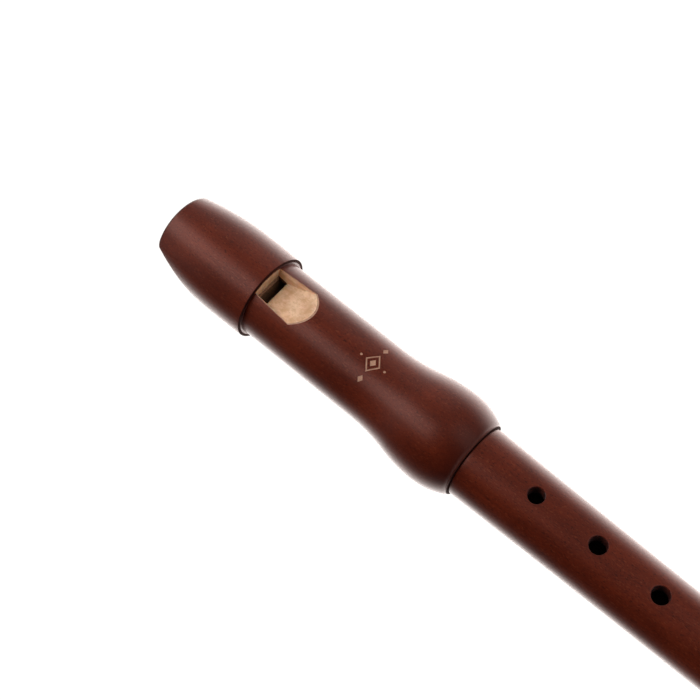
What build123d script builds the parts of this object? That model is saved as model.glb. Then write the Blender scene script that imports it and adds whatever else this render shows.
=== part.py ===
from build123d import *
import os

# Soprano recorder in millimetres. The origin is the centre of the foot's end face and +Z runs up
# the bore to the beak's tip. The window and the finger holes face -Y, the thumb hole faces +Y.

# Heights above the foot's end face
TIP = 320.2
CAP_END = 283.4
WINDOW_TOP = 283.5
LABIUM = 280.0
HEAD_SEAM = 203.8
FOOT_SEAM = 65.0

# Outside radii
CAP_END_RADIUS = 14.2
CAP_SWELL = (14.45, 296.3)
TIP_RADIUS = 11.75
SHOULDER_RADIUS = 12.6
WAIST = (12.45, 240.5)
HEAD_BULGE = (15.45, 215.3)
HEAD_CURVE_SHARE = 0.46
HEAD_RIM_RADIUS = 12.4
MIDDLE_TOP_RADIUS = 11.5
MIDDLE_HALFWAY = (10.5, 140.0)
MIDDLE_END_RADIUS = 10.0
FOOT_RIM_RADIUS = 10.9
FOOT_BULGE = (13.2, 56.5)
FOOT_BULGE_SHARE = 0.54
FOOT_WAIST_TOP = (10.5, 36.0)
FOOT_WAIST_END = (10.4, 26.0)
FOOT_FLARE = (12.1, 6.0)
FOOT_FLARE_SHARE = 0.5
FOOT_END_RADIUS = 11.3

# Bore
HEAD_BORE = 7.0
MIDDLE_BORE_TOP = 6.75
MIDDLE_BORE_END = 5.3
FOOT_BORE_END = 4.75
PEG_STRETCH = 20.0

# Cap and the spigot it is glued on
SPIGOT_RADIUS = 10.6
SPIGOT_TOP = 293.4

# Windway, window and labium: distances "out" are measured from the bore's axis towards -Y
WINDWAY_WIDTH = 9.0
WINDWAY_FLOOR = 7.2
ROOF_AT_EXIT = 8.35
ROOF_AT_ENTRY = 8.9
EXIT_CHAMFER = 0.9
LABIUM_WIDTH = 8.8
LABIUM_OUT = 7.42
UNDERCUT_OUT = 7.28
UNDERCUT_END = (5.6, 264.0)
RAMP_END = (14.94, 260.0)
RAMP_HOLLOW = 0.54
WALL_FLARE = 0.32
WALL_SPREAD = 0.084
WALL_DEPTH = 2.0

# Beak: the hollow cut on the back, from its start to the tip
BEAK_CUT_START = (14.5, 290.5)
BEAK_TIP_OUT = 4.6
BEAK_CUT_HOLLOW = 2.6

# Tenons, sockets and their cork rings
UPPER = {"tenon": 8.85, "groove": 8.0, "socket": 9.1, "length": 20.0, "cork": (4.0, 16.0)}
LOWER = {"tenon": 7.85, "groove": 7.1, "socket": 8.1, "length": 12.0, "cork": (2.6, 9.6)}
SOCKET_END_GAP = 0.4
SLIDING_FIT = 0.03
CORK_END_GAP = 0.05

# Finger holes as (x, height, diameter); the lowest two are pairs of unequal holes
MIDDLE_HOLES = [
    (0, 182.0, 5.0),
    (0, 160.5, 5.4),
    (0, 139.5, 5.4),
    (0, 116.5, 5.0),
    (0, 96.0, 4.6),
    (-2.0, 76.0, 3.3),
    (2.3, 76.0, 2.6),
]
FOOT_HOLES = [(-1.9, 46.5, 3.1), (2.2, 46.5, 2.4)]
THUMB_HOLE = (0, 193.0, 5.2)

# Rounding
RIM_ROUND = 0.5
TIP_ROUND = 0.9
CAP_END_ROUND = 0.2
CORK_ROUND = 0.3

OUTSIDE = 20.0
TOLERANCE = 0.01


ON_ITS_END = (Align.CENTER, Align.CENTER, Align.MIN)


def rod(radius, low, high):
    """Cylinder about the axis between two heights."""
    return Pos(0, 0, low) * Cylinder(radius, high - low, align=ON_ITS_END)


def taper(low_radius, high_radius, low, high):
    """Cone about the axis between two heights."""
    return Pos(0, 0, low) * Cone(low_radius, high_radius, high - low, align=ON_ITS_END)


def turned(edges, low, high):
    """Solid turned about the axis: edges run from low to high, given as (radius, height)."""
    closing = Polyline(high, (0, high[1]), (0, low[1]), low)
    return revolve(Plane.XZ * make_face([*edges, closing]), Axis.Z)


def rise_to(low, high):
    """Arc between two contour points that is parallel to the axis at the upper one."""
    return TangentArc(low, high, tangent=(0, -1), tangent_from_first=False)


def fall_from(low, high):
    """Arc between two contour points that is parallel to the axis at the lower one."""
    return TangentArc(low, high, tangent=(0, 1))


def s_curve(low, high, share):
    """Two tangent arcs, parallel to the axis at both ends, that meet at a share of the way up."""
    meeting = Vector(*low) + (Vector(*high) - Vector(*low)) * share
    first = TangentArc(low, meeting, tangent=(0, 1))
    second = TangentArc(meeting, high, tangent=first % 1)
    return [first, second]


def slab(edges, width):
    """Solid across the bore, centred on it, from an outline given as (y, height)."""
    return extrude(Plane.YZ * make_face(edges), width / 2, both=True)


def rounded(solid, height, radius, rounding):
    """The solid with its full circular edges at one height and radius rounded."""
    chosen = []
    for edge in solid.edges().filter_by(GeomType.CIRCLE):
        at_height = abs(edge.arc_center.Z - height) < TOLERANCE
        if at_height and abs(edge.radius - radius) < TOLERANCE:
            chosen.append(edge)
    return fillet(chosen, rounding)


def windway():
    """The flat duct above the block, opening slightly towards the tip."""
    outline = Polyline(
        (0, WINDOW_TOP),
        (-ROOF_AT_EXIT, WINDOW_TOP),
        (-ROOF_AT_ENTRY, TIP),
        (-ROOF_AT_ENTRY, TIP + OUTSIDE),
        (0, TIP + OUTSIDE),
        (0, WINDOW_TOP),
    )
    return slab(outline, WINDWAY_WIDTH)


def wall_section(height):
    """Section of the window at one height: its side walls lean outwards and spread downwards."""
    inner_out = LABIUM_OUT - WALL_DEPTH
    at_labium = LABIUM_WIDTH / 2 + WALL_SPREAD * (LABIUM - height)
    inner = at_labium + WALL_FLARE * (inner_out - LABIUM_OUT)
    outer = at_labium + WALL_FLARE * (OUTSIDE - LABIUM_OUT)
    corners = Polyline(
        (-inner, -inner_out),
        (-outer, -OUTSIDE),
        (outer, -OUTSIDE),
        (inner, -inner_out),
        close=True,
    )
    return Pos(0, 0, height) * make_face(corners)


def window():
    """The window above the labium and its slightly hollow ramp."""
    labium = (-LABIUM_OUT, LABIUM)
    ramp_end = (-RAMP_END[0], RAMP_END[1])
    ramp = SagittaArc(labium, ramp_end, RAMP_HOLLOW)
    rest = Polyline(
        ramp_end,
        (-OUTSIDE, RAMP_END[1]),
        (-OUTSIDE, WINDOW_TOP),
        (-LABIUM_OUT, WINDOW_TOP),
        labium,
    )
    walls = loft([wall_section(RAMP_END[1]), wall_section(WINDOW_TOP)], ruled=True)
    return walls & slab([ramp, rest], 2 * OUTSIDE)


def throat():
    """The opening behind the window and the hollow under the labium."""
    outline = Polyline(
        (0, WINDOW_TOP),
        (-ROOF_AT_EXIT, WINDOW_TOP),
        (-ROOF_AT_EXIT, LABIUM),
        (-UNDERCUT_OUT, LABIUM),
        (-UNDERCUT_END[0], UNDERCUT_END[1]),
        (0, UNDERCUT_END[1]),
        close=True,
    )
    return slab(outline, LABIUM_WIDTH)


def beak_cut():
    """The hollow on the back of the beak."""
    end = (-BEAK_TIP_OUT, TIP)
    hollow = SagittaArc(BEAK_CUT_START, end, BEAK_CUT_HOLLOW)
    rest = Polyline(
        end,
        (-BEAK_TIP_OUT, TIP + OUTSIDE),
        (OUTSIDE, TIP + OUTSIDE),
        (OUTSIDE, BEAK_CUT_START[1]),
        BEAK_CUT_START,
    )
    return slab([hollow, rest], 2 * OUTSIDE)


def drilled(solid, holes, side):
    """The solid with holes drilled to the bore from one side, -1 for the front and 1 for the back."""
    for x, height, diameter in holes:
        drill = Pos(x, side * OUTSIDE / 2, height) * Rot(90, 0, 0) * Cylinder(diameter / 2, OUTSIDE)
        solid = solid - drill
    return solid


def head_joint():
    """Turned head: socket in the bulge, bore, window, and the spigot for the cap."""
    rim = (HEAD_RIM_RADIUS, HEAD_SEAM)
    shoulder = (SHOULDER_RADIUS, CAP_END)
    spigot_top = (SPIGOT_RADIUS, SPIGOT_TOP)
    contour = [rise_to(rim, HEAD_BULGE), *s_curve(HEAD_BULGE, WAIST, HEAD_CURVE_SHARE)]
    contour.append(Polyline(WAIST, shoulder, (SPIGOT_RADIUS, CAP_END), spigot_top))
    body = turned(contour, rim, spigot_top)
    body = rounded(body, HEAD_SEAM, HEAD_RIM_RADIUS, RIM_ROUND)
    body -= rod(UPPER["socket"], HEAD_SEAM, HEAD_SEAM + UPPER["length"] + SOCKET_END_GAP)
    body -= rod(HEAD_BORE, HEAD_SEAM, SPIGOT_TOP)
    return body - windway() - window() - throat()


def beak_cap():
    """Turned cap glued over the spigot: windway's outer half, beak's hollow, end of the window."""
    end = (CAP_END_RADIUS, CAP_END)
    tip = (TIP_RADIUS, TIP)
    body = turned([rise_to(end, CAP_SWELL), fall_from(CAP_SWELL, tip)], end, tip)
    body = rounded(body, TIP, TIP_RADIUS, TIP_ROUND)
    body = rounded(body, CAP_END, CAP_END_RADIUS, CAP_END_ROUND)
    body -= beak_cut()
    body -= rod(SPIGOT_RADIUS, CAP_END, SPIGOT_TOP)
    body -= rod(HEAD_BORE, CAP_END, TIP)
    window_end = window() & rod(SHOULDER_RADIUS, CAP_END, WINDOW_TOP)
    return body - windway() - window_end


def block():
    """Cedar block that closes the bore; its raised flat is the windway's floor, bevelled at the window."""
    plug = rod(HEAD_BORE - SLIDING_FIT, WINDOW_TOP, TIP)
    floor = Polyline(
        (0, WINDOW_TOP),
        (-WINDWAY_FLOOR, WINDOW_TOP),
        (-WINDWAY_FLOOR, TIP),
        (0, TIP),
        close=True,
    )
    start = WINDWAY_FLOOR - EXIT_CHAMFER
    bevel = Polyline(
        (-(start - 1), WINDOW_TOP - 1),
        (-OUTSIDE, WINDOW_TOP - 1),
        (-OUTSIDE, WINDOW_TOP + OUTSIDE - start),
        close=True,
    )
    raised = plug + slab(floor, WINDWAY_WIDTH - 2 * SLIDING_FIT)
    return raised - slab(bevel, WINDWAY_WIDTH) - beak_cut()


def tenon(sizes, seam, direction):
    """Tenon beyond a seam, upwards for direction 1 and downwards for -1, with its cork groove."""
    low, high = sorted((seam, seam + direction * sizes["length"]))
    groove_low, groove_high = sorted(seam + direction * edge for edge in sizes["cork"])
    ring = rod(OUTSIDE, groove_low, groove_high) - rod(sizes["groove"], groove_low, groove_high)
    return rod(sizes["tenon"], low, high) - ring


def middle_joint():
    """Turned middle joint with a tenon at each end, the tapered bore and the tone holes."""
    low = (MIDDLE_END_RADIUS, FOOT_SEAM)
    high = (MIDDLE_TOP_RADIUS, HEAD_SEAM)
    body = turned([Spline(low, MIDDLE_HALFWAY, high)], low, high)
    body = rounded(body, HEAD_SEAM, MIDDLE_TOP_RADIUS, RIM_ROUND)
    body = rounded(body, FOOT_SEAM, MIDDLE_END_RADIUS, RIM_ROUND)
    body += tenon(UPPER, HEAD_SEAM, 1)
    body += tenon(LOWER, FOOT_SEAM, -1)
    low_end = FOOT_SEAM - LOWER["length"]
    high_end = HEAD_SEAM + UPPER["length"]
    body -= taper(MIDDLE_BORE_END, MIDDLE_BORE_TOP, low_end, high_end)
    body = drilled(body, MIDDLE_HOLES, -1)
    return drilled(body, [THUMB_HOLE], 1)


def foot_joint():
    """Turned foot joint: socket in its bulge, flared end, and the lowest pair of tone holes."""
    end = (FOOT_END_RADIUS, 0)
    rim = (FOOT_RIM_RADIUS, FOOT_SEAM)
    contour = [rise_to(end, FOOT_FLARE), *s_curve(FOOT_FLARE, FOOT_WAIST_END, FOOT_FLARE_SHARE)]
    contour.append(Line(FOOT_WAIST_END, FOOT_WAIST_TOP))
    contour += s_curve(FOOT_WAIST_TOP, FOOT_BULGE, FOOT_BULGE_SHARE)
    contour.append(fall_from(FOOT_BULGE, rim))
    body = turned(contour, end, rim)
    body = rounded(body, 0, FOOT_END_RADIUS, RIM_ROUND)
    body = rounded(body, FOOT_SEAM, FOOT_RIM_RADIUS, RIM_ROUND)
    socket_end = FOOT_SEAM - LOWER["length"] - SOCKET_END_GAP
    body -= rod(LOWER["socket"], socket_end, FOOT_SEAM)
    body -= taper(FOOT_BORE_END, MIDDLE_BORE_END, PEG_STRETCH, socket_end)
    body -= rod(FOOT_BORE_END, 0, PEG_STRETCH)
    return drilled(body, FOOT_HOLES, -1)


def cork_ring(sizes, seam, direction):
    """Cork ring in a tenon's groove, just proud of the wood."""
    low, high = sorted(seam + direction * edge for edge in sizes["cork"])
    low += CORK_END_GAP
    high -= CORK_END_GAP
    outer = sizes["socket"] - SLIDING_FIT
    ring = rod(outer, low, high)
    ring = rounded(ring, low, outer, CORK_ROUND)
    ring = rounded(ring, high, outer, CORK_ROUND)
    return ring - rod(sizes["groove"] + SLIDING_FIT, low, high)


PARTS = {
    "head_joint": head_joint(),
    "beak_cap": beak_cap(),
    "block": block(),
    "middle_joint": middle_joint(),
    "foot_joint": foot_joint(),
    "upper_tenon_cork": cork_ring(UPPER, HEAD_SEAM, 1),
    "lower_tenon_cork": cork_ring(LOWER, FOOT_SEAM, -1),
}

os.makedirs("parts", exist_ok=True)
for name, solid in PARTS.items():
    export_step(solid, f"parts/{name}.step")
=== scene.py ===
from math import ceil, cos, hypot, pi, radians, sin, sqrt

import bmesh
import bpy
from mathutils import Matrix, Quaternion, Vector


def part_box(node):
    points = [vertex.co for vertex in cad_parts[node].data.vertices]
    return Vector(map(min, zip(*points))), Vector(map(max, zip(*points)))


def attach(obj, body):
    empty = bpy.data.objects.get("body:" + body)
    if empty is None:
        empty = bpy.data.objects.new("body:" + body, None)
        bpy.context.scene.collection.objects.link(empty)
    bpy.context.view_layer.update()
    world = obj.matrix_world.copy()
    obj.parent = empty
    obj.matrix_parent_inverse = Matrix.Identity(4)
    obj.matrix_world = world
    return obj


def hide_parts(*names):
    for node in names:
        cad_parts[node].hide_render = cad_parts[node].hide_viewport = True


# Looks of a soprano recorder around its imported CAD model. Sizes below are in millimetres, in the
# CAD's frame: +Z up the bore from the foot's end face, window and finger holes towards -Y.

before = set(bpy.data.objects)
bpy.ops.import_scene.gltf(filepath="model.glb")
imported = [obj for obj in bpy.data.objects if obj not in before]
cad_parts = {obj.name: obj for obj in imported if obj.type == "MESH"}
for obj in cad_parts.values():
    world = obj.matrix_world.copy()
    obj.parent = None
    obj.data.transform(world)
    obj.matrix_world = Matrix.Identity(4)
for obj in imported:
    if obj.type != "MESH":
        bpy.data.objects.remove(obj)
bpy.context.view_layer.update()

MM = 0.001

# Mesh: sides of each round form, steps of each curve, and the longest step along a contour
SEGMENTS = 288
BEAK_SEGMENTS = 352
HOLE_SEGMENTS = 96
DOT_SEGMENTS = 24
CORNER_STEPS = 6
TIP_STEPS = 8
HOLE_STEPS = 7
LIP_STEPS = 16
MIDDLE_STEPS = 60
CELL = 1.0

# Tolerances: the angle in degrees above which an edge is shaded sharp, what counts as nothing,
# and the margin for faces picked by their place and for contour points next to a rounding
SHARP_ANGLE = 32
TINY = 1e-6
SLACK = 0.1

# Heights taken from the CAD nodes
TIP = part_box("beak_cap")[1].z / MM
CAP_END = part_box("beak_cap")[0].z / MM
SPIGOT_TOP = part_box("head_joint")[1].z / MM
WINDOW_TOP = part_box("block")[0].z / MM
HEAD_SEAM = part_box("head_joint")[0].z / MM
FOOT_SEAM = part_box("foot_joint")[1].z / MM
TENON_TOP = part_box("middle_joint")[1].z / MM
TENON_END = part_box("middle_joint")[0].z / MM
UPPER_CORK = (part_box("upper_tenon_cork")[0].z / MM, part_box("upper_tenon_cork")[1].z / MM)
LOWER_CORK = (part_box("lower_tenon_cork")[0].z / MM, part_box("lower_tenon_cork")[1].z / MM)
CUT_UP = 3.5
LABIUM = WINDOW_TOP - CUT_UP

# Contour points as (radius, height); a share is where the two arcs of an S-curve meet
CAP_LOW = (14.2, CAP_END)
CAP_SWELL = (14.45, 296.3)
CAP_TOP = (11.75, TIP)
SHOULDER = (12.6, CAP_END)
WAIST = (12.45, 240.5)
HEAD_BULGE = (15.45, 215.3)
HEAD_CURVE_SHARE = 0.46
HEAD_RIM = (12.4, HEAD_SEAM)
MIDDLE_TOP = (11.5, HEAD_SEAM)
MIDDLE_HALFWAY = (10.5, 140.0)
MIDDLE_END = (10.0, FOOT_SEAM)
FOOT_RIM = (10.9, FOOT_SEAM)
FOOT_BULGE = (13.2, 56.5)
FOOT_BULGE_SHARE = 0.54
FOOT_WAIST_TOP = (10.5, 36.0)
FOOT_WAIST_END = (10.4, 26.0)
FOOT_FLARE = (12.1, 6.0)
FOOT_FLARE_SHARE = 0.5
FOOT_END = (11.3, 0.0)

# Bore and tenons
HEAD_BORE = 7.0
MIDDLE_BORE_TOP = 6.75
MIDDLE_BORE_END = 5.3
FOOT_BORE_END = 4.75
PEG_STRETCH = 20.0
SPIGOT_RADIUS = 10.6
UPPER_TENON = {"wood": 8.85, "groove": 8.0, "socket": 9.1}
LOWER_TENON = {"wood": 7.85, "groove": 7.1, "socket": 8.1}
SOCKET_END_GAP = 0.4
FIT = 0.03
CORK_END_GAP = 0.05
TENON_END_BEVEL = 0.2
GLUE_LINE = 0.01

# Window: distances "out" run from the axis towards -Y
WINDWAY_WIDTH = 9.0
WINDWAY_FLOOR = 7.2
ROOF_AT_EXIT = 8.35
ROOF_AT_ENTRY = 8.9
EXIT_CHAMFER = 0.9
LABIUM_WIDTH = 8.8
LABIUM_OUT = 7.42
UNDERCUT_OUT = 7.28
UNDERCUT_END = (5.6, 264.0)
RAMP_END = (14.94, 260.0)
RAMP_HOLLOW = 0.54
WALL_FLARE = 0.32
WALL_SPREAD = 0.084

# Reach of cutters: well outside the wood, and just past a face
FAR = 20.0
PAST = 1.0

# Beak's hollow, as (y, height)
BEAK_CUT_START = Vector((14.5, 290.5))
BEAK_CUT_END = Vector((-4.6, TIP))
BEAK_CUT_HOLLOW = 2.6
BEAK_EDGE_BLEND = 1.4

# Tone holes as (x, height, diameter)
MIDDLE_HOLES = [
    (0, 182.0, 5.0),
    (0, 160.5, 5.4),
    (0, 139.5, 5.4),
    (0, 116.5, 5.0),
    (0, 96.0, 4.6),
    (-2.0, 76.0, 3.3),
    (2.3, 76.0, 2.6),
]
FOOT_HOLES = [(-1.9, 46.5, 3.1), (2.2, 46.5, 2.4)]
THUMB_HOLE = (0, 193.0, 5.2)

# Roundings of edges; the angle is how far a rim's rounding stops short of its wall
RIM_ROUND = 0.5
RIM_ROUND_GAP = 5
TIP_ROUND = 0.9
CAP_END_ROUND = 0.2
# The dark ring at the cap's end is painted shade; it starts at this radius
CAP_SHADE_RING_INSIDE = 13.3
CORK_ROUND = 0.3
WINDOW_EDGE = 0.2

# Easing of the tip's end face: how far out it starts, how far it runs, and its drop per square
# millimetre
LIP_EASE_START = 7.4
LIP_EASE_RUN = 8.0
LIP_EASE_DROP = 0.14

# Rim of a tone hole: its radius, the angle it starts at, the mouth and lip of its drill, and how
# far the drill reaches past the bore's wall
HOLE_ROUND = 0.3
HOLE_ROUND_START = 15
HOLE_MOUTH = 1.35 * HOLE_ROUND
HOLE_LIP = 0.16 * HOLE_ROUND
HOLE_INTO_BORE = 1.5

# Ornament pressed into the head's front, as (width, height) of its parts
ORNAMENT_HEIGHT = 242.0
ORNAMENT_DEPTH = 0.08
LOZENGE = (6.6, 5.4)
LOZENGE_HOLE = (5.2, 4.2)
INNER_LOZENGE = (2.6, 2.1)
SIDE_LOZENGE = (2.2, 1.8)
SIDE_LOZENGE_PLACE = 5.6
DOT = (0.8, 0.8)
DOT_PLACE = 4.4

# Surfaces of the wooden pieces, by material index
STAINED = 0
BARE = 1
OILED_AND_SHADED = 2
END_GRAIN_AND_SHADE = 3
PALE_STAIN = 4

# Sockets of a Mix node, which share their names
MIX_FACTOR = 0
MIX_NUMBERS = (2, 3)
MIX_COLOURS = (6, 7)
MIX_NUMBER_OUT = 0
MIX_COLOUR_OUT = 2

# Camera: angles in degrees, aim and distance in millimetres
CAMERA_LENS = 77.6
CAMERA_AZIMUTH = -18.07
CAMERA_ELEVATION = -17.74
CAMERA_ROLL = -51.47
CAMERA_AIM = Vector((2.56, -0.84, 253.6))
CAMERA_DISTANCE = 446.6
SENSOR_WIDTH = 36.0
NEAREST_SEEN = 10.0

# Studio floor
FLOOR_RADIUS = 160.0
FLOOR_THICKNESS = 8.0

# Studio: the white behind the object, and the dim room that is brightest towards the picture's top;
# each is (lowest facing, highest facing, brightness at the lowest, brightness at the highest)
BACK_AZIMUTH = 150.0
BACK_SPAN = (0.18, 0.75, 0.0, 4.0)
ROOM_SPAN = (-0.20, 0.50, 0.02, 0.30)
BACKDROP = 1.12
STUDIO_WHITE = (1.0, 0.97, 0.945)

# Lights as (name, azimuth, elevation, distance, width, height, brightness), in degrees and metres
LIGHTS = [
    ("key", -27, 35, 0.42, 0.26, 0.50, 3.0),
    ("top", 5, 75, 0.70, 0.40, 0.40, 1.5),
    ("right", 16, -32, 0.80, 0.52, 0.56, 0.85),
    ("left", -80, 45, 0.45, 0.30, 0.30, 0.5),
    ("side", 50, 22, 0.60, 0.40, 0.40, 0.6),
]

# Colours of the materials, in linear light
STAIN_DEEP = (0.082, 0.0090, 0.0028)
STAIN_WARM = (0.130, 0.0165, 0.0052)
STAIN_GRAIN = (0.064, 0.0070, 0.0027)
# Painted shade for faces that slope across the bore, such as the bulge's underside
SLOPE_PAINTED_SHADE = (0.038, 0.0030, 0.0015)
STAIN_FLECK = (0.210, 0.0480, 0.0210)
STAIN_PORE = (0.030, 0.0036, 0.0020)
VARNISH_TINT = (1.0, 0.52, 0.44)
# End grain, whose very dark tone is also painted shade at the cap's end, the tip and the seam
END_DARK = (0.022, 0.0055, 0.0035)
END_LIGHT = (0.040, 0.0090, 0.0055)
PALE_DARK = (0.36, 0.165, 0.105)
PALE_LIGHT = (0.56, 0.310, 0.200)
MAPLE_TAN = (0.68, 0.39, 0.215)
MAPLE_CREAM = (0.90, 0.62, 0.420)
MAPLE_FIGURE = (0.62, 0.34, 0.165)
MAPLE_GRAIN = (0.50, 0.26, 0.125)
# Oiled maple, dark enough to also be painted shade inside the bore, the throat and the tone holes
OIL_BROWN = (0.085, 0.040, 0.018)
OIL_DARK = (0.045, 0.020, 0.009)
CEDAR_RED = (0.38, 0.170, 0.080)
CEDAR_LIGHT = (0.50, 0.240, 0.120)
CEDAR_GRAIN = (0.23, 0.095, 0.043)
CORK_TAN = (0.39, 0.225, 0.115)
CORK_LIGHT = (0.50, 0.320, 0.180)
CORK_PORE = (0.12, 0.055, 0.025)
CORK_EDGE = (0.24, 0.125, 0.060)
FLOOR_GREY = (0.70, 0.70, 0.69)
FLOOR_WHITE = (0.74, 0.74, 0.73)

# Light inside bare maple: its share, how far red, green and blue travel, and the depth in millimetres
SUBSURFACE_SHARE = 0.7
SUBSURFACE_SPREAD = (1.0, 0.55, 0.35)
SUBSURFACE_DEPTH = 1.0


# ---- contours ----

def arc(crown, foot):
    """Points from crown to foot along the circular arc that is upright at the crown."""
    drop = crown[0] - foot[0]
    run = foot[1] - crown[1]
    radius = (run * run + drop * drop) / (2 * abs(drop))
    steps = ceil(abs(run) / CELL)
    points = []
    for i in range(steps + 1):
        along = run * i / steps
        fall = radius - sqrt(radius * radius - along * along)
        points.append((crown[0] - (fall if drop > 0 else -fall), crown[1] + along))
    return points


def s_curve(low, high, share):
    """Points of two tangent arcs, upright at both ends, that meet at a share of the way up."""
    meeting = (low[0] + (high[0] - low[0]) * share, low[1] + (high[1] - low[1]) * share)
    return arc(low, meeting) + arc(high, meeting)[::-1]


def corner(centre, radius, start, end):
    """Points of a rounding, from one angle to another in degrees, 0 pointing outwards and 90 up."""
    angles = [radians(start + (end - start) * i / CORNER_STEPS) for i in range(CORNER_STEPS + 1)]
    return [(centre[0] + radius * cos(a), centre[1] + radius * sin(a)) for a in angles]


def trimmed(points, low, high):
    """The contour points between two heights."""
    return [p for p in points if low < p[1] < high]


def divided(points, closed=True):
    """The contour with extra points, so that no step is longer than a cell."""
    result = []
    ends = points[1:] + points[:1] if closed else points[1:]
    for start, end in zip(points, ends):
        length = hypot(end[0] - start[0], end[1] - start[1])
        if length < TINY:
            continue
        steps = ceil(length / CELL)
        for i in range(steps):
            t = i / steps
            result.append((start[0] + (end[0] - start[0]) * t, start[1] + (end[1] - start[1]) * t))
    return result


def radius_at(points, height):
    """Radius of an upward contour at a height."""
    for low, high in zip(points, points[1:]):
        if low[1] <= height <= high[1] and high[1] > low[1]:
            t = (height - low[1]) / (high[1] - low[1])
            return low[0] + (high[0] - low[0]) * t
    return points[0][0] if height < points[0][1] else points[-1][0]


# ---- meshes ----

def new_object(name, vertices, faces):
    """Object from vertices in millimetres, with its normals made consistent and outward."""
    mesh = bpy.data.meshes.new(name)
    mesh.from_pydata([(x * MM, y * MM, z * MM) for x, y, z in vertices], [], faces)
    made = bmesh.new()
    made.from_mesh(mesh)
    bmesh.ops.recalc_face_normals(made, faces=made.faces)
    made.to_mesh(mesh)
    made.free()
    obj = bpy.data.objects.new(name, mesh)
    bpy.context.scene.collection.objects.link(obj)
    return obj


def ring_faces(rings, count, closed):
    """Quads between rings of vertices; a closed stack joins its last ring to its first."""
    faces = []
    for i in range(rings if closed else rings - 1):
        low = i * count
        high = ((i + 1) % rings) * count
        for j in range(count):
            k = (j + 1) % count
            faces.append((low + j, low + k, high + k, high + j))
    return faces


def turned(name, contour):
    """Lathed solid from a closed contour of (radius, height) that keeps off the axis."""
    points = divided(contour)
    vertices = [vertex for radius, height in points for vertex in circle(radius, height)]
    return new_object(name, vertices, ring_faces(len(points), SEGMENTS, True))


def stacked(name, rings):
    """Solid from rings of equally many (x, y, z) points, capped at both ends."""
    count = len(rings[0])
    vertices = [vertex for ring in rings for vertex in ring]
    faces = ring_faces(len(rings), count, False)
    faces.append(tuple(range(count)))
    faces.append(tuple(range(len(vertices) - count, len(vertices))))
    return new_object(name, vertices, faces)


def prism(name, outline, half_width):
    """Solid across the bore from an outline of (out, height); half_width may be a function of both."""
    sides = []
    for side in (-1, 1):
        ring = []
        for out, height in outline:
            width = half_width(out, height) if callable(half_width) else half_width
            ring.append((side * width, -out, height))
        sides.append(ring)
    return stacked(name, sides)


def circle(radius, height):
    """Ring of points about the axis."""
    angles = [2 * pi * j / SEGMENTS for j in range(SEGMENTS)]
    return [(radius * sin(angle), -radius * cos(angle), height) for angle in angles]


def rod(name, radius, low, high):
    """Cylinder about the axis between two heights, with rings a cell apart."""
    steps = ceil((high - low) / CELL)
    return stacked(name, [circle(radius, low + (high - low) * i / steps) for i in range(steps + 1)])


def combine(obj, operation, tool):
    """Applies one exact boolean to obj and removes the tool."""
    step = obj.modifiers.new("step", "BOOLEAN")
    step.operation = operation
    step.solver = "EXACT"
    step.material_mode = "INDEX"
    step.object = tool
    depsgraph = bpy.context.evaluated_depsgraph_get()
    mesh = bpy.data.meshes.new_from_object(obj.evaluated_get(depsgraph))
    obj.modifiers.clear()
    obj.data = mesh
    bpy.data.objects.remove(tool)
    return obj


def united(tools):
    """One cutter from several that overlap."""
    whole = tools[0]
    for tool in tools[1:]:
        combine(whole, "UNION", tool)
    return whole


def gathered(tools):
    """One cutter from several that don't touch."""
    whole = tools[0]
    meshes = bmesh.new()
    for tool in tools:
        meshes.from_mesh(tool.data)
    meshes.to_mesh(whole.data)
    meshes.free()
    for tool in tools[1:]:
        bpy.data.objects.remove(tool)
    return whole


def dressed(obj, materials, surface=0):
    """Gives a piece or cutter its materials, and all its faces one of them."""
    obj.data.materials.clear()
    for surface_material in materials:
        obj.data.materials.append(surface_material)
    for face in obj.data.polygons:
        face.material_index = surface
    return obj


def mark(obj, surface, low, high, radius=FAR):
    """Gives the faces between two heights, within a radius, another surface."""
    for face in obj.data.polygons:
        height = face.center.z / MM
        distance = hypot(face.center.x, face.center.y) / MM
        if distance < radius + SLACK and low - SLACK < height < high + SLACK:
            face.material_index = surface


def finished(obj, body, cad_node):
    """Shades a piece smooth between its sharp edges and puts it on its body."""
    mesh = obj.data
    tidy = bmesh.new()
    tidy.from_mesh(mesh)
    bmesh.ops.remove_doubles(tidy, verts=tidy.verts, dist=TINY)
    bmesh.ops.dissolve_degenerate(tidy, edges=tidy.edges, dist=TINY)
    tidy.to_mesh(mesh)
    tidy.free()
    mesh.shade_smooth()
    mesh.set_sharp_from_angle(angle=radians(SHARP_ANGLE))
    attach(obj, body)
    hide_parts(cad_node)
    return obj


# ---- cutters ----

def window_half_width(out, height):
    """Half the window's width: its side walls lean outwards and spread towards the foot."""
    return LABIUM_WIDTH / 2 + WALL_FLARE * (out - LABIUM_OUT) + WALL_SPREAD * (LABIUM - height)


def hollow_line(start, end, hollow):
    """Points along the shallow curve between two (out, height) points, deepest at its middle."""
    run = Vector(end) - Vector(start)
    inward = Vector((run.y, -run.x)).normalized()
    if inward.x > 0:
        inward = -inward
    steps = ceil(run.length / CELL)
    points = []
    for i in range(steps + 1):
        share = i / steps
        points.append(tuple(Vector(start) + run * share + inward * (4 * hollow * share * (1 - share))))
    return points


def window_cutter():
    """The window above the labium and its slightly hollow ramp."""
    outline = hollow_line((LABIUM_OUT, LABIUM), RAMP_END, RAMP_HOLLOW)
    outline += [(FAR, RAMP_END[1]), (FAR, WINDOW_TOP), (LABIUM_OUT, WINDOW_TOP)]
    return prism("window_cutter", outline, window_half_width)


def skin(contour, low, high, depth):
    """Lathed shell that reaches so deep under an upward contour, between two heights."""
    under = [(radius - depth, height) for radius, height in trimmed(contour, low, high)]
    return turned("skin", under + [(FAR, under[-1][1]), (FAR, under[0][1])])


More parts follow.
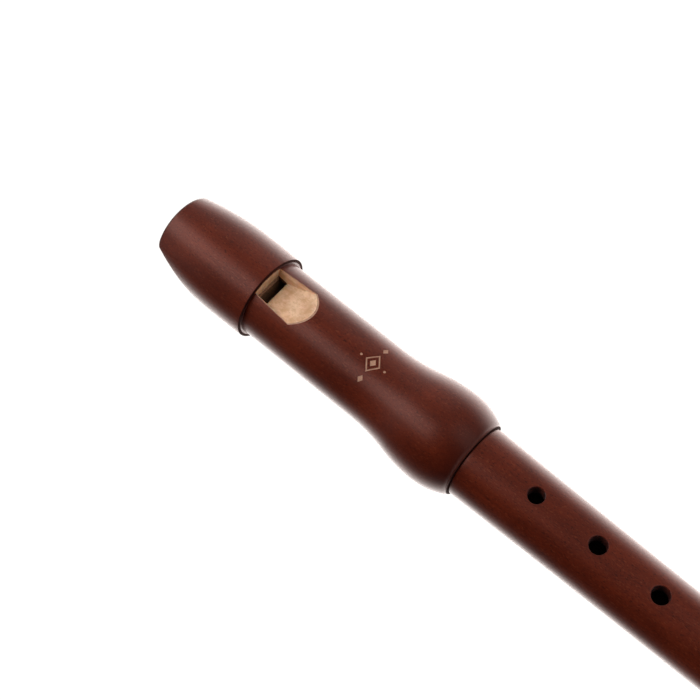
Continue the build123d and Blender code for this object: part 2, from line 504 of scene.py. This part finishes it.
def window_edge_cutter(contour):
    """The shallow break of the window's edge below the cap."""
    line = hollow_line((LABIUM_OUT, LABIUM), RAMP_END, RAMP_HOLLOW)
    outline = [(out, height - WINDOW_EDGE) for out, height in line]
    outline += [(FAR, outline[-1][1]), (FAR, CAP_END), (LABIUM_OUT, CAP_END)]
    wider = prism("window_edge", outline, lambda out, height: window_half_width(out, height) + WINDOW_EDGE)
    shell = skin(divided(contour, closed=False), RAMP_END[1] - 3 * PAST, CAP_END + PAST, WINDOW_EDGE)
    return combine(wider, "INTERSECT", shell)


def punch(outline, x_place=0.0, z_place=0.0):
    """Punch through the head's front, from an outline of (x, z) about a place in the ornament."""
    rings = []
    for out in (HEAD_BORE, FAR - PAST):
        rings.append([(x_place + x, -out, ORNAMENT_HEIGHT + z_place + z) for x, z in outline])
    return stacked("punch", rings)


def lozenge(size):
    """Outline of a lozenge standing on its corner."""
    width, height = size
    return [(-width / 2, 0), (0, -height / 2), (width / 2, 0), (0, height / 2)]


def disc(size):
    """Outline of a round dot."""
    angles = [2 * pi * i / DOT_SEGMENTS for i in range(DOT_SEGMENTS)]
    return [(size[0] / 2 * cos(angle), size[1] / 2 * sin(angle)) for angle in angles]


def ornament_cutter(contour):
    """An open lozenge round a small one, with a full lozenge at either side and a dot above and below."""
    band = combine(punch(lozenge(LOZENGE)), "DIFFERENCE", punch(lozenge(LOZENGE_HOLE)))
    parts = [band, punch(lozenge(INNER_LOZENGE))]
    for side in (-1, 1):
        parts.append(punch(lozenge(SIDE_LOZENGE), side * SIDE_LOZENGE_PLACE))
        parts.append(punch(disc(DOT), 0, side * DOT_PLACE))
    low = ORNAMENT_HEIGHT - 2 * DOT_PLACE
    high = ORNAMENT_HEIGHT + 2 * DOT_PLACE
    shell = skin(divided(contour, closed=False), low, high, ORNAMENT_DEPTH)
    front = [(0, low), (FAR + PAST, low), (FAR + PAST, high), (0, high)]
    return combine(gathered(parts), "INTERSECT", combine(shell, "INTERSECT", prism("front", front, FAR)))


def lip_cutter():
    """Eases the tip's end face down towards the beak's hollow."""
    outline = []
    for i in range(LIP_STEPS + 1):
        inward = LIP_EASE_RUN * i / LIP_STEPS
        outline.append((LIP_EASE_START - inward, TIP - LIP_EASE_DROP * inward * inward))
    outline += [(outline[-1][0], TIP + PAST), (LIP_EASE_START, TIP + PAST)]
    return prism("lip_cutter", outline, FAR)


def throat_cutter():
    """The opening behind the window and the hollow under the labium."""
    outline = [
        (0, WINDOW_TOP),
        (ROOF_AT_EXIT, WINDOW_TOP),
        (ROOF_AT_EXIT, LABIUM),
        (UNDERCUT_OUT, LABIUM),
        UNDERCUT_END,
        (0, UNDERCUT_END[1]),
    ]
    return prism("throat_cutter", outline, LABIUM_WIDTH / 2)


def windway_cutter():
    """The windway, from the window to past the tip."""
    outline = [
        (0, WINDOW_TOP),
        (ROOF_AT_EXIT, WINDOW_TOP),
        (ROOF_AT_ENTRY, TIP),
        (ROOF_AT_ENTRY, TIP + FAR),
        (0, TIP + FAR),
    ]
    return prism("windway_cutter", outline, WINDWAY_WIDTH / 2)


def chamfer_cutter():
    """Bevels the windway's floor at 45 degrees where it ends at the window."""
    start = WINDWAY_FLOOR - EXIT_CHAMFER
    run = FAR - start
    outline = [(start - PAST, WINDOW_TOP - PAST), (FAR, WINDOW_TOP - PAST), (FAR, WINDOW_TOP + run)]
    return prism("chamfer_cutter", outline, WINDWAY_WIDTH)


def hole_cutter(hole, side, contour, bore):
    """Drill that opens towards the turned surface in a rounding; side is -1 in front and 1 behind."""
    x_centre, height, diameter = hole
    radius = diameter / 2
    rows = [(radius + HOLE_MOUTH, -2 * PAST), (radius + HOLE_MOUTH, -HOLE_LIP)]
    for i in range(HOLE_STEPS + 1):
        turn = radians(HOLE_ROUND_START + (90 - HOLE_ROUND_START) * i / HOLE_STEPS)
        rows.append((radius + HOLE_ROUND * (1 - sin(turn)), HOLE_ROUND * (1 - cos(turn))))
    rows.append((radius, radius_at(contour, height) - bore + HOLE_INTO_BORE))
    rings = []
    for spread, depth in rows:
        ring = []
        for j in range(HOLE_SEGMENTS):
            angle = 2 * pi * j / HOLE_SEGMENTS
            x = x_centre + spread * cos(angle)
            z = height + spread * sin(angle)
            surface = sqrt(radius_at(contour, z) ** 2 - x * x)
            ring.append((x, side * (surface - depth), z))
        rings.append(ring)
    return stacked("hole_cutter", rings)


# ---- beak ----

def beak_cut_depth(height):
    """The y of the beak's hollow at a height, on the arc through its start and the tip."""
    chord = BEAK_CUT_END - BEAK_CUT_START
    hollow = BEAK_CUT_HOLLOW
    radius = (chord.length ** 2 / 4 + hollow ** 2) / (2 * hollow)
    out = Vector((chord.y, -chord.x)).normalized()
    centre = (BEAK_CUT_START + BEAK_CUT_END) / 2 + out * (radius - hollow)
    return centre.x - sqrt(radius ** 2 - (height - centre.y) ** 2)


def soft_min(a, b, blend):
    """The smaller of two numbers, eased where they are within blend of each other."""
    near = max(blend - abs(a - b), 0) / blend
    return min(a, b) - near * near * blend / 4


def beak_section(radius, height, inset):
    """Ring of points round the beak: a circle cut by the hollow, with its corners rounded."""
    cut = beak_cut_depth(height) - inset
    centre = (min(cut, radius) - radius) / 2
    ring = []
    for j in range(BEAK_SEGMENTS):
        angle = 2 * pi * j / BEAK_SEGMENTS
        along = -cos(angle)
        reach = -centre * along + sqrt((centre * along) ** 2 - centre ** 2 + radius ** 2)
        if along > TINY:
            reach = soft_min(reach, (cut - centre) / along, BEAK_EDGE_BLEND)
        ring.append((reach * sin(angle), centre + reach * along, height))
    return ring


def beak_form(name):
    """Outer form of the beak as a solid, rounded at the cap's end and round the lips."""
    outline = arc(CAP_SWELL, CAP_LOW)[::-1] + arc(CAP_SWELL, CAP_TOP)[1:]
    low = CAP_END + CAP_END_ROUND
    high = TIP - TIP_ROUND
    sections = [beak_section(CAP_SHADE_RING_INSIDE, CAP_END, 0)]
    for radius, height in corner((CAP_LOW[0] - CAP_END_ROUND, low), CAP_END_ROUND, -90, 0):
        sections.append(beak_section(radius, height, 0))
    for radius, height in trimmed(divided(outline, closed=False), low + SLACK, high - SLACK):
        sections.append(beak_section(radius, height, 0))
    for i in range(TIP_STEPS + 1):
        turn = radians(90 * i / TIP_STEPS)
        inset = TIP_ROUND * (1 - cos(turn))
        height = high + TIP_ROUND * sin(turn)
        sections.append(beak_section(radius_at(outline, height) - inset, height, inset))
    return combine(stacked(name, sections), "DIFFERENCE", lip_cutter())


# ---- pieces ----

def head_outside():
    """Upward contour of the head from its rim to the shoulder."""
    bulge = arc(HEAD_BULGE, HEAD_RIM)[::-1]
    return bulge + s_curve(HEAD_BULGE, WAIST, HEAD_CURVE_SHARE)[1:] + [SHOULDER]


def middle_outside():
    """Upward contour of the middle joint between its seams, through three points."""
    (r0, z0), (r1, z1), (r2, z2) = MIDDLE_END, MIDDLE_HALFWAY, MIDDLE_TOP
    points = []
    for i in range(MIDDLE_STEPS + 1):
        z = z0 + (z2 - z0) * i / MIDDLE_STEPS
        r = r0 * (z - z1) * (z - z2) / ((z0 - z1) * (z0 - z2))
        r += r1 * (z - z0) * (z - z2) / ((z1 - z0) * (z1 - z2))
        r += r2 * (z - z0) * (z - z1) / ((z2 - z0) * (z2 - z1))
        points.append((r, z))
    return points


def foot_outside():
    """Upward contour of the foot joint from its end face to its rim."""
    flare = arc(FOOT_FLARE, FOOT_END)[::-1] + s_curve(FOOT_FLARE, FOOT_WAIST_END, FOOT_FLARE_SHARE)[1:]
    bulge = s_curve(FOOT_WAIST_TOP, FOOT_BULGE, FOOT_BULGE_SHARE) + arc(FOOT_BULGE, FOOT_RIM)[1:]
    return flare + bulge


def rounded_low(contour):
    """Upward contour with its low end rounded into the face below."""
    radius, height = contour[0]
    inner = corner((radius - RIM_ROUND, height + RIM_ROUND), RIM_ROUND, -90, -RIM_ROUND_GAP)
    return inner + [p for p in contour if p[1] > height + RIM_ROUND]


def rounded_high(contour):
    """Upward contour with its high end rounded into the face above."""
    radius, height = contour[-1]
    inner = corner((radius - RIM_ROUND, height - RIM_ROUND), RIM_ROUND, RIM_ROUND_GAP, 90)
    return [p for p in contour if p[1] < height - RIM_ROUND] + inner


def make_head(woods):
    """Head joint with its window."""
    socket_end = TENON_TOP + SOCKET_END_GAP
    inside = [
        (SPIGOT_RADIUS, CAP_END),
        (SPIGOT_RADIUS, SPIGOT_TOP),
        (HEAD_BORE, SPIGOT_TOP),
        (HEAD_BORE, socket_end),
        (UPPER_TENON["socket"], socket_end),
        (UPPER_TENON["socket"], HEAD_SEAM),
    ]
    outside = head_outside()
    head = dressed(turned("head", rounded_low(outside) + inside), woods, STAINED)
    # The head's rim at the seam: end grain, and painted shade for its dark line
    mark(head, END_GRAIN_AND_SHADE, HEAD_SEAM, HEAD_SEAM)
    mark(head, BARE, HEAD_SEAM, socket_end, UPPER_TENON["socket"])
    mark(head, OILED_AND_SHADED, HEAD_SEAM, SPIGOT_TOP, HEAD_BORE)
    tools = [
        dressed(window_cutter(), woods, BARE),
        dressed(throat_cutter(), woods, OILED_AND_SHADED),
        dressed(windway_cutter(), woods, BARE),
    ]
    combine(head, "DIFFERENCE", united(tools))
    combine(head, "DIFFERENCE", dressed(window_edge_cutter(outside), woods, PALE_STAIN))
    combine(head, "DIFFERENCE", dressed(ornament_cutter(outside), woods, PALE_STAIN))
    return finished(head, "head", "head_joint")


def make_beak(woods):
    """Beak cap with the windway's outer half."""
    beak = dressed(beak_form("beak"), woods, STAINED)
    # The cap's end and the tip's rounding: end grain, and painted shade for their dark lines; the ring's
    # inner part keeps the stain
    mark(beak, END_GRAIN_AND_SHADE, CAP_END, CAP_END + CAP_END_ROUND)
    mark(beak, STAINED, CAP_END, CAP_END, CAP_SHADE_RING_INSIDE)
    mark(beak, END_GRAIN_AND_SHADE, TIP - TIP_ROUND / 2, TIP)
    end = rod("end", SHOULDER[0], CAP_END - PAST, WINDOW_TOP + PAST)
    window_end = combine(window_cutter(), "INTERSECT", end)
    spigot_cutter = rod("spigot_cutter", SPIGOT_RADIUS + GLUE_LINE, CAP_END - 2 * PAST, SPIGOT_TOP)
    tools = [
        dressed(rod("bore_cutter", HEAD_BORE, SPIGOT_TOP - PAST, TIP + 2 * PAST), woods, OILED_AND_SHADED),
        dressed(spigot_cutter, woods, BARE),
        dressed(windway_cutter(), woods, BARE),
        dressed(window_end, woods, BARE),
    ]
    combine(beak, "DIFFERENCE", united(tools))
    return finished(beak, "head", "beak_cap")


def make_block(cedar):
    """Cedar block with the windway's floor, cut to the beak's form."""
    block = rod("block_cedar", HEAD_BORE - FIT, WINDOW_TOP, TIP)
    outline = [(0, WINDOW_TOP), (WINDWAY_FLOOR, WINDOW_TOP), (WINDWAY_FLOOR, TIP), (0, TIP)]
    combine(block, "UNION", prism("floor", outline, WINDWAY_WIDTH / 2 - FIT))
    combine(block, "INTERSECT", beak_form("beak_form"))
    combine(block, "DIFFERENCE", chamfer_cutter())
    dressed(block, [cedar])
    return finished(block, "block", "block")


def tenon_contour(tenon, seam, end, cork):
    """Contour along a tenon from its seam to its end, with the cork's groove."""
    near, far = sorted(cork, key=lambda height: abs(height - seam))
    gap = CORK_END_GAP if end > seam else -CORK_END_GAP
    bevel = TENON_END_BEVEL if end > seam else -TENON_END_BEVEL
    return [
        (tenon["wood"], seam),
        (tenon["wood"], near - gap),
        (tenon["groove"], near - gap),
        (tenon["groove"], far + gap),
        (tenon["wood"], far + gap),
        (tenon["wood"], end - bevel),
        (tenon["wood"] - TENON_END_BEVEL, end),
    ]


def make_middle(woods):
    """Middle joint with its tenons and tone holes."""
    outside = middle_outside()
    contour = rounded_high(rounded_low(outside))
    contour += tenon_contour(UPPER_TENON, HEAD_SEAM, TENON_TOP, UPPER_CORK)
    contour += [(MIDDLE_BORE_TOP, TENON_TOP), (MIDDLE_BORE_END, TENON_END)]
    contour += tenon_contour(LOWER_TENON, FOOT_SEAM, TENON_END, LOWER_CORK)[::-1]
    middle = dressed(turned("middle", contour), woods, STAINED)
    mark(middle, BARE, HEAD_SEAM, TENON_TOP, UPPER_TENON["wood"])
    mark(middle, BARE, TENON_END, FOOT_SEAM, LOWER_TENON["wood"])
    mark(middle, OILED_AND_SHADED, TENON_END, TENON_TOP, MIDDLE_BORE_TOP)
    cutters = [hole_cutter(hole, -1, outside, MIDDLE_BORE_END) for hole in MIDDLE_HOLES]
    cutters.append(hole_cutter(THUMB_HOLE, 1, outside, MIDDLE_BORE_END))
    combine(middle, "DIFFERENCE", dressed(gathered(cutters), woods, STAINED))
    return finished(middle, "middle", "middle_joint")


def make_foot(woods):
    """Foot joint with its socket and the lowest pair of holes."""
    outside = foot_outside()
    socket_end = TENON_END - SOCKET_END_GAP
    contour = rounded_high(rounded_low(outside)) + [
        (LOWER_TENON["socket"], FOOT_SEAM),
        (LOWER_TENON["socket"], socket_end),
        (MIDDLE_BORE_END, socket_end),
        (FOOT_BORE_END, PEG_STRETCH),
        (FOOT_BORE_END, 0),
    ]
    foot = dressed(turned("foot", contour), woods, STAINED)
    mark(foot, BARE, socket_end, FOOT_SEAM, LOWER_TENON["socket"])
    mark(foot, OILED_AND_SHADED, 0, socket_end, MIDDLE_BORE_END)
    cutters = [hole_cutter(hole, -1, outside, FOOT_BORE_END) for hole in FOOT_HOLES]
    combine(foot, "DIFFERENCE", dressed(gathered(cutters), woods, STAINED))
    return finished(foot, "foot", "foot_joint")


def make_cork(name, body, cad_node, tenon, heights, cork):
    """Cork ring with softly rounded edges."""
    low, high = heights
    inner = tenon["groove"] + FIT
    centre = tenon["socket"] - FIT - CORK_ROUND
    contour = corner((centre, low + CORK_ROUND), CORK_ROUND, -90, 0)
    contour += corner((centre, high - CORK_ROUND), CORK_ROUND, 0, 90)
    contour += [(inner, high), (inner, low)]
    ring = dressed(turned(name, contour), [cork])
    return finished(ring, body, cad_node)


# ---- materials ----

def material(name):
    """New material, with its node tree and its shader."""
    made = bpy.data.materials.new(name)
    made.use_nodes = True
    return made, made.node_tree, made.node_tree.nodes["Principled BSDF"]


def node(tree, kind, **settings):
    """New node with its properties set."""
    made = tree.nodes.new(kind)
    for key, value in settings.items():
        setattr(made, key, value)
    return made


def stretched_space(tree, across, along):
    """Object coordinates scaled for a pattern that is long along the bore; sizes are in millimetres."""
    place = node(tree, "ShaderNodeTexCoord")
    scale = node(tree, "ShaderNodeMapping")
    scale.inputs["Scale"].default_value = (1 / (across * MM), 1 / (across * MM), 1 / (along * MM))
    tree.links.new(place.outputs["Object"], scale.inputs["Vector"])
    return scale.outputs["Vector"]


def noise(tree, across, along, detail=3.0, roughness=0.55):
    """Fractal noise whose features are so many millimetres across and along the bore."""
    made = node(tree, "ShaderNodeTexNoise")
    made.inputs["Scale"].default_value = 1.0
    made.inputs["Detail"].default_value = detail
    made.inputs["Roughness"].default_value = roughness
    tree.links.new(stretched_space(tree, across, along), made.inputs["Vector"])
    return made.outputs["Fac"]


def ramp(tree, source, first, second, low=0.3, high=0.7):
    """One colour where a pattern is low, another where it is high, and both blended between."""
    made = node(tree, "ShaderNodeValToRGB")
    for element, position, colour in zip(made.color_ramp.elements, (low, high), (first, second)):
        element.position = position
        element.color = (*colour, 1)
    tree.links.new(source, made.inputs["Fac"])
    return made.outputs["Color"]


def mixed(tree, factor, first, second):
    """Two colours mixed by a factor socket; each is a socket or a plain colour."""
    made = node(tree, "ShaderNodeMix", data_type="RGBA")
    tree.links.new(factor, made.inputs[MIX_FACTOR])
    for index, colour in zip(MIX_COLOURS, (first, second)):
        if isinstance(colour, bpy.types.NodeSocket):
            tree.links.new(colour, made.inputs[index])
        else:
            made.inputs[index].default_value = (*colour, 1)
    return made.outputs[MIX_COLOUR_OUT]


def span(tree, source, low, high, to_low=0.0, to_high=1.0):
    """Number remapped from one range to another, and clamped."""
    made = node(tree, "ShaderNodeMapRange")
    tree.links.new(source, made.inputs["Value"])
    for key, value in (("From Min", low), ("From Max", high), ("To Min", to_low), ("To Max", to_high)):
        made.inputs[key].default_value = value
    return made.outputs["Result"]


def layered(tree, under, over, source, low, high, amount):
    """A colour laid over another as a pattern goes from low to high, up to an amount."""
    return mixed(tree, span(tree, source, low, high, to_high=amount), under, over)


def bump(tree, shader, source, height, strength=0.3):
    """Bump of a height in millimetres on a shader."""
    made = node(tree, "ShaderNodeBump")
    made.inputs["Strength"].default_value = strength
    made.inputs["Distance"].default_value = height * MM
    tree.links.new(source, made.inputs["Height"])
    tree.links.new(made.outputs["Normal"], shader.inputs["Normal"])


def steepness(tree):
    """How far the surface turns across the bore, from 0 along the bore to 1 across it; it places the
    painted shade on sloping faces.
    """
    place = node(tree, "ShaderNodeTexCoord")
    parts = node(tree, "ShaderNodeSeparateXYZ")
    tree.links.new(place.outputs["Normal"], parts.inputs["Vector"])
    size = node(tree, "ShaderNodeMath", operation="ABSOLUTE")
    tree.links.new(parts.outputs["Z"], size.inputs[0])
    return size.outputs["Value"]


def stained_maple():
    """Turned maple with a dark red-brown stain under a satin varnish, and painted shade on its sloping
    faces.
    """
    made, tree, shader = material("stained_maple")
    clouds = noise(tree, across=7, along=20, detail=4)
    streaks = noise(tree, across=0.8, along=12, detail=4)
    fleck = noise(tree, across=0.30, along=1.0, detail=2, roughness=0.5)
    pores = noise(tree, across=0.20, along=0.9, detail=1, roughness=0.4)
    colour = ramp(tree, clouds, STAIN_DEEP, STAIN_WARM, low=0.35, high=0.65)
    colour = layered(tree, colour, STAIN_GRAIN, streaks, low=0.40, high=0.72, amount=0.5)
    colour = layered(tree, colour, STAIN_FLECK, fleck, low=0.42, high=0.30, amount=0.5)
    colour = layered(tree, colour, STAIN_PORE, pores, low=0.57, high=0.68, amount=0.8)
    # Painted shade: faces that slope across the bore, such as the bulge's underside, are darkened
    colour = layered(tree, colour, SLOPE_PAINTED_SHADE, steepness(tree), low=0.16, high=0.46, amount=0.8)
    tree.links.new(colour, shader.inputs["Base Color"])
    gloss = span(tree, fleck, low=0.3, high=0.7, to_low=0.34, to_high=0.44)
    tree.links.new(gloss, shader.inputs["Roughness"])
    shader.inputs["Specular IOR Level"].default_value = 0.39
    shader.inputs["Specular Tint"].default_value = (*VARNISH_TINT, 1)
    shader.inputs["Coat Weight"].default_value = 0.06
    shader.inputs["Coat Roughness"].default_value = 0.25
    shader.inputs["Sheen Weight"].default_value = 0.08
    shader.inputs["Sheen Roughness"].default_value = 0.35
    bump(tree, shader, fleck, height=0.02, strength=0.35)
    return made


def end_grain_and_shade():
    """Maple across the grain, which takes up more stain and stays dull; its very dark tone is also painted
    shade, for the dark lines at the cap's end, the tip and the head's rim at the seam.
    """
    made, tree, shader = material("end_grain_and_shade")
    spots = noise(tree, across=0.5, along=0.5)
    tree.links.new(ramp(tree, spots, END_DARK, END_LIGHT), shader.inputs["Base Color"])
    shader.inputs["Roughness"].default_value = 0.8
    shader.inputs["Specular IOR Level"].default_value = 0.05
    bump(tree, shader, spots, height=0.02)
    return made


def pale_stain():
    """Maple with only a trace of stain, at the window's edge and in the ornament."""
    made, tree, shader = material("pale_stain")
    clouds = noise(tree, across=1.2, along=2.0)
    tree.links.new(ramp(tree, clouds, PALE_DARK, PALE_LIGHT), shader.inputs["Base Color"])
    shader.inputs["Roughness"].default_value = 0.6
    bump(tree, shader, clouds, height=0.02)
    return made


def bare_maple():
    """Raw maple where the window, windway and tenons are cut."""
    made, tree, shader = material("bare_maple")
    clouds = noise(tree, across=3.5, along=5, detail=4, roughness=0.6)
    figure = noise(tree, across=1.6, along=2.6, detail=2, roughness=0.5)
    streaks = noise(tree, across=0.35, along=5)
    colour = ramp(tree, clouds, MAPLE_TAN, MAPLE_CREAM, low=0.38, high=0.62)
    colour = layered(tree, colour, MAPLE_FIGURE, figure, low=0.52, high=0.66, amount=0.55)
    colour = layered(tree, colour, MAPLE_GRAIN, streaks, low=0.50, high=0.75, amount=0.5)
    tree.links.new(colour, shader.inputs["Base Color"])
    shader.inputs["Subsurface Weight"].default_value = SUBSURFACE_SHARE
    shader.inputs["Subsurface Radius"].default_value = SUBSURFACE_SPREAD
    shader.inputs["Subsurface Scale"].default_value = SUBSURFACE_DEPTH * MM
    gloss = span(tree, streaks, low=0.3, high=0.7, to_low=0.5, to_high=0.62)
    tree.links.new(gloss, shader.inputs["Roughness"])
    bump(tree, shader, streaks, height=0.03)
    return made


def oiled_maple_and_shade():
    """Maple darkened by oil, in the bore; its very dark tone is also painted shade in the bore, the throat
    and the tone holes.
    """
    made, tree, shader = material("oiled_maple_and_shade")
    streaks = noise(tree, across=0.6, along=9)
    tree.links.new(ramp(tree, streaks, OIL_BROWN, OIL_DARK), shader.inputs["Base Color"])
    shader.inputs["Roughness"].default_value = 0.5
    bump(tree, shader, streaks, height=0.02)
    return made


def red_cedar():
    """Soft red-brown cedar with close straight grain."""
    made, tree, shader = material("cedar")
    clouds = noise(tree, across=4, along=12)
    rings = noise(tree, across=0.45, along=18)
    colour = ramp(tree, clouds, CEDAR_RED, CEDAR_LIGHT)
    colour = layered(tree, colour, CEDAR_GRAIN, rings, low=0.45, high=0.62, amount=0.75)
    tree.links.new(colour, shader.inputs["Base Color"])
    shader.inputs["Roughness"].default_value = 0.62
    bump(tree, shader, rings, height=0.04, strength=0.35)
    return made


def fine_cork():
    """Fine-grained cork with dark pores."""
    made, tree, shader = material("cork")
    grains = node(tree, "ShaderNodeTexVoronoi")
    grains.inputs["Scale"].default_value = 1.0
    tree.links.new(stretched_space(tree, across=0.9, along=0.9), grains.inputs["Vector"])
    pores = noise(tree, across=0.7, along=0.4, detail=4, roughness=0.7)
    colour = layered(tree, CORK_TAN, CORK_LIGHT, pores, low=0.35, high=0.65, amount=1.0)
    colour = layered(tree, colour, CORK_PORE, pores, low=0.62, high=0.72, amount=0.8)
    colour = layered(tree, colour, CORK_EDGE, grains.outputs["Distance"], low=0.3, high=0.8, amount=0.3)
    tree.links.new(colour, shader.inputs["Base Color"])
    shader.inputs["Roughness"].default_value = 0.85
    bump(tree, shader, pores, height=0.12, strength=0.6)
    return made


# ---- stage, lights and camera ----

def make_floor():
    """Pale round floor under the foot."""
    floor = stacked("floor", [circle(FLOOR_RADIUS, -FLOOR_THICKNESS), circle(FLOOR_RADIUS, 0.0)])
    pale, tree, shader = material("pale_floor")
    clouds = noise(tree, across=60, along=60, detail=2)
    tree.links.new(ramp(tree, clouds, FLOOR_GREY, FLOOR_WHITE), shader.inputs["Base Color"])
    shader.inputs["Roughness"].default_value = 0.7
    floor.data.materials.append(pale)


def direction(azimuth, elevation):
    """Unit vector from the object towards an azimuth and elevation in degrees; azimuth 0 is -Y."""
    turn = radians(azimuth)
    rise = radians(elevation)
    return Vector((sin(turn) * cos(rise), -cos(turn) * cos(rise), sin(rise)))


def camera_turn():
    """Rotation of the camera, from its azimuth, elevation and roll."""
    back = direction(CAMERA_AZIMUTH, CAMERA_ELEVATION)
    return Quaternion(back, radians(CAMERA_ROLL)) @ back.to_track_quat("Z", "Y")


def softbox(name, azimuth, elevation, distance, width, height, brightness):
    """Rectangular light that faces the axis at the cap's end, from a distance in metres."""
    light = bpy.data.lights.new(name, "AREA")
    light.shape = "RECTANGLE"
    light.size = width
    light.size_y = height
    light.energy = brightness * pi * width * height
    holder = bpy.data.objects.new(name, light)
    towards = direction(azimuth, elevation)
    holder.location = Vector((0, 0, CAP_END * MM)) + towards * distance
    holder.rotation_mode = "QUATERNION"
    holder.rotation_quaternion = towards.to_track_quat("Z", "Y")
    bpy.context.scene.collection.objects.link(holder)


def facing(tree, towards):
    """How nearly the sky's place is in a fixed direction, from -1 when opposite to 1."""
    place = node(tree, "ShaderNodeTexCoord")
    product = node(tree, "ShaderNodeVectorMath", operation="DOT_PRODUCT")
    product.inputs[1].default_value = towards
    tree.links.new(place.outputs["Generated"], product.inputs[0])
    return product.outputs["Value"]


def make_world():
    """White studio: plain white to the camera, and bright only behind the object for the light."""
    world = bpy.data.worlds.new("studio")
    world.use_nodes = True
    bpy.context.scene.world = world
    tree = world.node_tree
    background = tree.nodes["Background"]
    back = facing(tree, direction(BACK_AZIMUTH, 0))
    upwards = facing(tree, camera_turn() @ Vector((0, 1, 0)))
    light = node(tree, "ShaderNodeMath", operation="MAXIMUM")
    tree.links.new(span(tree, back, *BACK_SPAN), light.inputs[0])
    tree.links.new(span(tree, upwards, *ROOM_SPAN), light.inputs[1])
    seen = node(tree, "ShaderNodeLightPath")
    strength = node(tree, "ShaderNodeMix", data_type="FLOAT")
    lit, plain = (strength.inputs[index] for index in MIX_NUMBERS)
    plain.default_value = BACKDROP
    tree.links.new(light.outputs["Value"], lit)
    tree.links.new(seen.outputs["Is Camera Ray"], strength.inputs[MIX_FACTOR])
    tree.links.new(strength.outputs[MIX_NUMBER_OUT], background.inputs["Strength"])
    background.inputs["Color"].default_value = (*STUDIO_WHITE, 1)


def make_camera():
    """Camera from the left and a little below, rolled so that the beak points up and left."""
    camera = bpy.data.cameras.new("camera")
    camera.lens = CAMERA_LENS
    camera.sensor_width = SENSOR_WIDTH
    camera.clip_start = NEAREST_SEEN * MM
    holder = bpy.data.objects.new("camera", camera)
    back = direction(CAMERA_AZIMUTH, CAMERA_ELEVATION)
    holder.location = (CAMERA_AIM + back * CAMERA_DISTANCE) * MM
    holder.rotation_mode = "QUATERNION"
    holder.rotation_quaternion = camera_turn()
    bpy.context.scene.collection.objects.link(holder)
    bpy.context.scene.camera = holder


woods = [stained_maple(), bare_maple(), oiled_maple_and_shade(), end_grain_and_shade(), pale_stain()]
cork = fine_cork()

make_head(woods)
make_beak(woods)
make_block(red_cedar())
make_middle(woods)
make_foot(woods)
make_cork("upper_cork", "upper_cork", "upper_tenon_cork", UPPER_TENON, UPPER_CORK, cork)
make_cork("lower_cork", "lower_cork", "lower_tenon_cork", LOWER_TENON, LOWER_CORK, cork)

make_floor()
make_world()
for light in LIGHTS:
    softbox(*light)
make_camera()
bpy.context.scene.view_settings.view_transform = "Standard"
